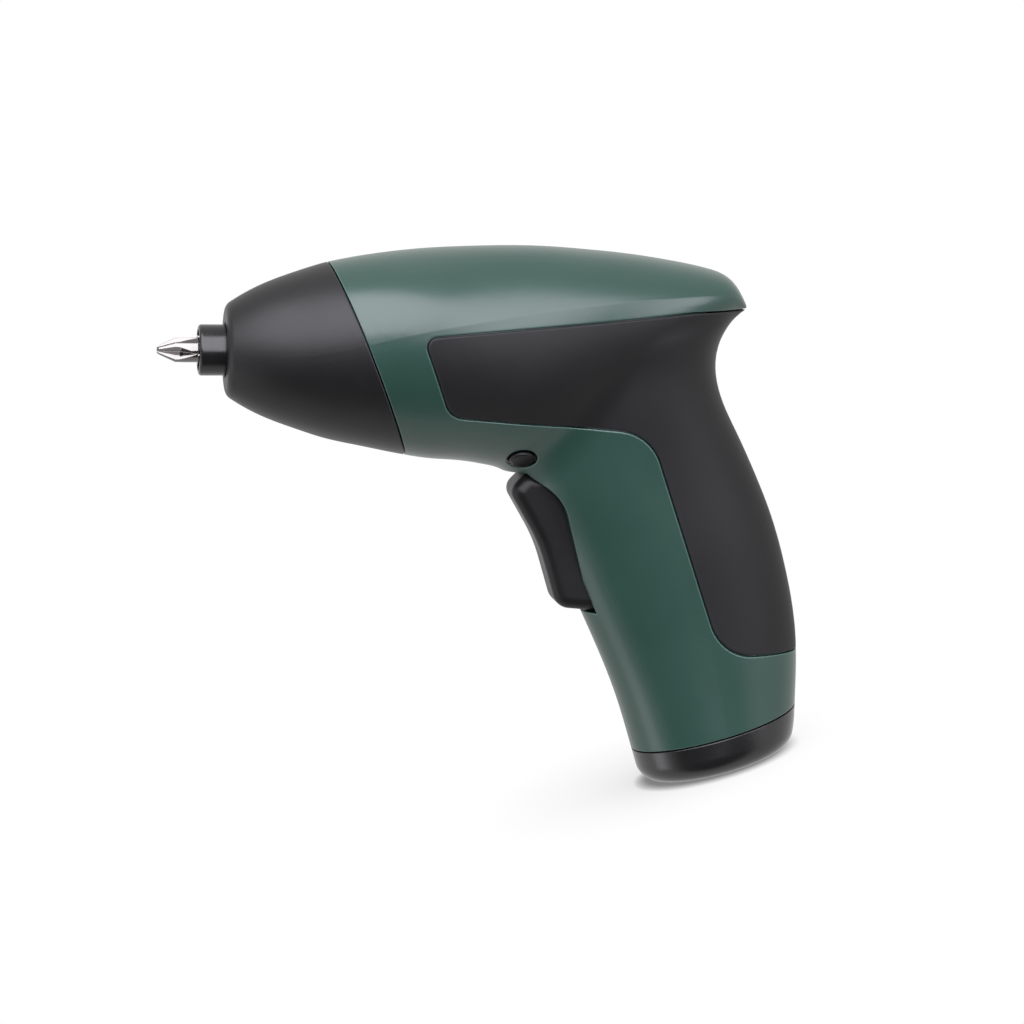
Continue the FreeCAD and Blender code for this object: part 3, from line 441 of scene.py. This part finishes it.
def textured(name, texture_group, texture_values, dark, light, tones, rough, depth, radius, shine):
    """A material with texture. Tones is the part of its tone over which the roughness changes."""
    material = bpy.data.materials.new(name)
    material.use_nodes = True
    tree = material.node_tree
    shader = tree.nodes["Principled BSDF"]
    fill(shader, {"Specular IOR Level": shine})
    texture = place(tree, texture_group, **texture_values)
    rounding_wear_and_highlight = place(tree, edge_group, Radius=radius)
    tone = mix_colours(tree, dark, light)
    gloss = add(tree, "MapRange", From_Min=tones[0], From_Max=tones[1],
                To_Min=rough[0], To_Max=rough[1])
    bump = add(tree, "Bump", Strength=1.0, Distance=depth)
    wire(tree,
         (texture, "Tone", tone, "Factor"),
         (tone, COLOUR_OUT, shader, "Base Color"),
         (texture, "Tone", gloss, "Value"),
         (gloss, "Result", shader, "Roughness"),
         (texture, "Height", bump, "Height"),
         (rounding_wear_and_highlight, "Normal", bump, "Normal"),
         (bump, "Normal", shader, "Normal"))
    return material, shader, tone, rounding_wear_and_highlight


def dress(material, *names):
    """Gives one finish to the named pieces."""
    for name in names:
        pieces[name].data.materials.clear()
        pieces[name].data.materials.append(material)
    print(material.name, "on", ", ".join(names))


print("recipe", textured.__name__, "given by", dress.__name__)

# %% [markdown]
# ## Plastics and rubber
#
# Everything that the hand touches is moulded. The moulded finish is the common recipe with the
# mould's grain, and a paler colour, a little wear and mostly a painted highlight, lies over it
# along the edges. It could be painted on by hand, but the mask of the rounded edges finds every
# edge by itself.


# %% The moulded finish
GRAIN_TONES = (0.3, 0.7)


def moulded(name, dark, light, edge_highlight_and_wear, rough, grain=3000.0, depth=0.00002, radius=0.0004,
            highlight_and_wear_amount=0.5, shine=0.5):
    """Plastic or rubber with mould grain. Rough is the lowest and highest roughness."""
    material, shader, tone, rounding_wear_and_highlight = textured(
        name, grain_group, {"Grain": grain}, dark, light, GRAIN_TONES, rough, depth, radius, shine)
    tree = material.node_tree
    fill(rounding_wear_and_highlight, {"Amount": highlight_and_wear_amount})
    # Paler colour along the edges: a little wear and mostly a painted highlight on the rounding.
    highlit_and_worn = mix_colours(tree, dark, edge_highlight_and_wear)
    wire(tree,
         (tone, COLOUR_OUT, highlit_and_worn, COLOUR_A),
         (rounding_wear_and_highlight, "Edge", highlit_and_worn, "Factor"),
         (highlit_and_worn, COLOUR_OUT, shader, "Base Color"))
    return material


print("finish", moulded.__name__)

# %% [markdown]
# ## Housing
#
# The two halves of the housing are deep green plastic with a satin shine, which draws a soft pale
# band along the barrel. A clear coat could give that band too, but it would mirror the room too
# sharply. A low, nearly even roughness and a very shallow grain keep it soft.

# %% Green housing
# The pale edge colour paints thin highlight lines along the seams and grooves, with a little wear.
dress(moulded(
    "deep_green_plastic", dark=(0.0100, 0.0305, 0.0226), light=(0.0132, 0.0380, 0.0288),
    edge_highlight_and_wear=(0.07, 0.14, 0.12), rough=(0.28, 0.315), depth=0.000006, radius=0.0005, highlight_and_wear_amount=0.9),
    "left_housing", "right_housing")

# %% [markdown]
# ## Nose, cap, grips and controls
#
# These are all nearly black, and in the photograph only their shine tells them apart: the cap is
# the glossiest, the nose and the trigger are satin, and the soft grips are dull. Different greys
# could part them, but under this light that would look painted. So their colours are close, and
# their roughness and the strength of their reflection differ.

# %% Black pieces that show
# Their paler edge colours paint a faint highlight along each edge, with a little wear.
dress(moulded(
    "nose_black_plastic", dark=(0.0032, 0.0032, 0.0034), light=(0.0050, 0.0050, 0.0054),
    edge_highlight_and_wear=(0.05, 0.05, 0.053), rough=(0.38, 0.46), radius=0.0006, shine=0.30),
    "nose_cone")
dress(moulded(
    "cap_black_plastic", dark=(0.0034, 0.0034, 0.0036), light=(0.0050, 0.0050, 0.0054),
    edge_highlight_and_wear=(0.02, 0.02, 0.021), rough=(0.20, 0.27), radius=0.0003, highlight_and_wear_amount=0.2, shine=0.6),
    "base_cap")
dress(moulded(
    "soft_grip_rubber", dark=(0.0042, 0.0042, 0.0044), light=(0.0068, 0.0068, 0.0072),
    edge_highlight_and_wear=(0.04, 0.04, 0.042), rough=(0.46, 0.55), radius=0.0007, shine=0.22),
    "left_grip", "right_grip")
dress(moulded(
    "trigger_black_plastic", dark=(0.0038, 0.0038, 0.0040), light=(0.0056, 0.0056, 0.0060),
    edge_highlight_and_wear=(0.03, 0.03, 0.031), rough=(0.36, 0.44), shine=0.2),
    "trigger", "direction_button")

# %% [markdown]
# ## Plastics inside
#
# The switch, the gear case, the board and the sleeve of the cell are hidden as long as the housing
# is closed. They could share one grey, but someone may take the tool apart in the library, so each
# has the colour that such a piece usually has.

# %% Moulded pieces inside
dress(moulded(
    "black_switch_plastic", dark=(0.02, 0.02, 0.021), light=(0.03, 0.03, 0.032),
    edge_highlight_and_wear=(0.06, 0.06, 0.06), rough=(0.35, 0.45)),
    "switch_body", "motor_end_bell")
dress(moulded(
    "glass_filled_nylon", dark=(0.42, 0.42, 0.39), light=(0.55, 0.55, 0.52),
    edge_highlight_and_wear=(0.6, 0.6, 0.57), rough=(0.45, 0.6)),
    "gear_case")
dress(moulded(
    "board_lacquer", dark=(0.012, 0.075, 0.03), light=(0.02, 0.11, 0.045),
    edge_highlight_and_wear=(0.35, 0.30, 0.15), rough=(0.25, 0.35)),
    "circuit_board")
dress(moulded(
    "cell_sleeve", dark=(0.03, 0.07, 0.22), light=(0.04, 0.09, 0.27),
    edge_highlight_and_wear=(0.06, 0.12, 0.32), rough=(0.22, 0.3)),
    "battery_cell")

# %% [markdown]
# ## Metals
#
# All the metal pieces show where the tool went that cut them. The cut metal finish is the common
# recipe with tool streaks and without the pale edge colour of wear and painted highlight. An
# anisotropic shader could stretch the highlights instead, but every piece would need a tangent
# direction of its own.


# %% The cut metal finish
STREAK_TONES, METAL_EDGE = (0.1, 0.5), 0.0002


def cut_metal(name, dark, light, rough, along, metallic=1.0, fineness=600.0, depth=0.000003,
              shine=0.5):
    """Metal with tool streaks. Along stretches them: its smallest number is their direction."""
    streaks = {"Along": along, "Fineness": fineness}
    material, shader, _, _ = textured(
        name, streak_group, streaks, dark, light, STREAK_TONES, rough, depth, METAL_EDGE, shine)
    fill(shader, {"Metallic": metallic})
    return material


print("finish", cut_metal.__name__)

# %% [markdown]
# ## Bit and collar
#
# The bit is bright ground steel and mirrors the dark room beside the white paper. The collar is
# steel with a black oxide skin. A dark metal could stand for that skin, but the oxide isn't a metal
# any more and reflects without a tint, so its Metallic is zero.

# %% Bright and blackened steel
dress(cut_metal(
    "bright_bit_steel", dark=(0.12, 0.115, 0.11), light=(0.26, 0.25, 0.24),
    rough=(0.10, 0.17), along=(0.2, 1.0, 1.0), depth=0.000001),
    "screwdriver_bit")
dress(cut_metal(
    "black_oxide_steel", dark=(0.004, 0.004, 0.0043), light=(0.008, 0.008, 0.0085),
    rough=(0.20, 0.27), along=(1.0, 0.15, 0.15), metallic=0.0, shine=0.4),
    "bit_holder")

# %% [markdown]
# ## Drive, motor and contacts
#
# The gears are pressed from steel powder and the bush from bronze, the motor is plated and its
# armature is a stack of iron sheets. One steel could serve for all of them, but the drive is easier
# to follow in a cut-away view when each metal has its own colour.

# %% Metal pieces inside
gear_names = [name for name in sorted(pieces) if "planet" in name or "carrier" in name]
dress(cut_metal(
    "sintered_steel", dark=(0.30, 0.30, 0.31), light=(0.50, 0.50, 0.51),
    rough=(0.32, 0.5), along=(0.6, 1.0, 1.0)),
    *gear_names, "motor_shaft", "spindle_clip", "trigger_spring")
dress(cut_metal(
    "plated_motor_steel", dark=(0.50, 0.50, 0.51), light=(0.66, 0.66, 0.67),
    rough=(0.25, 0.4), along=(1.0, 0.2, 0.2)),
    "motor_can", "motor_plate")
dress(cut_metal(
    "sintered_bronze", dark=(0.42, 0.25, 0.11), light=(0.62, 0.40, 0.20),
    rough=(0.35, 0.5), along=(1.0, 0.3, 0.3)),
    "spindle_bush", "motor_pinion")
dress(cut_metal(
    "dark_screw_steel", dark=(0.12, 0.12, 0.125), light=(0.22, 0.22, 0.225),
    rough=(0.3, 0.45), along=(1.0, 0.2, 1.0)),
    "housing_screws", "trigger_pin")
dress(cut_metal(
    "sintered_magnet", dark=(0.05, 0.05, 0.055), light=(0.09, 0.09, 0.095),
    rough=(0.5, 0.7), along=(1.0, 1.0, 1.0), metallic=0.4),
    "motor_magnets", "bit_magnet")
dress(cut_metal(
    "laminated_iron", dark=(0.22, 0.17, 0.13), light=(0.42, 0.30, 0.20),
    rough=(0.35, 0.5), along=(1.0, 0.05, 0.05), metallic=0.8, fineness=1800.0),
    "motor_armature")
dress(cut_metal(
    "plated_contact", dark=(0.60, 0.48, 0.26), light=(0.80, 0.66, 0.38),
    rough=(0.2, 0.32), along=(0.3, 1.0, 1.0)),
    "battery_tabs", "charge_contacts")

# %% [markdown]
# ## The trigger's spring
#
# A small coil pushes the trigger out again. A rigid one would be cut by the trigger when it is
# pulled, and a shape key with a driver wouldn't leave Blender. So a copy with a mesh of its own
# stands for the solid coil, which is hidden. The copy hangs on the trigger's body; it isn't
# shortened here.

# %% Coil that rides on the trigger
coil = bpy.data.objects.new("trigger_coil", pieces["trigger_spring"].data.copy())
bpy.context.scene.collection.objects.link(coil)
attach(coil, "trigger")
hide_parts("trigger_spring")
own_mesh(coil)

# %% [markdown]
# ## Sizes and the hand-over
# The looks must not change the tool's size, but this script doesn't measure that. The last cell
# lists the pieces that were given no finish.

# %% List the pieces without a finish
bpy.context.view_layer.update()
bare = [name for name, piece in pieces.items() if not piece.data.materials]
print("pieces without a finish:", bare)
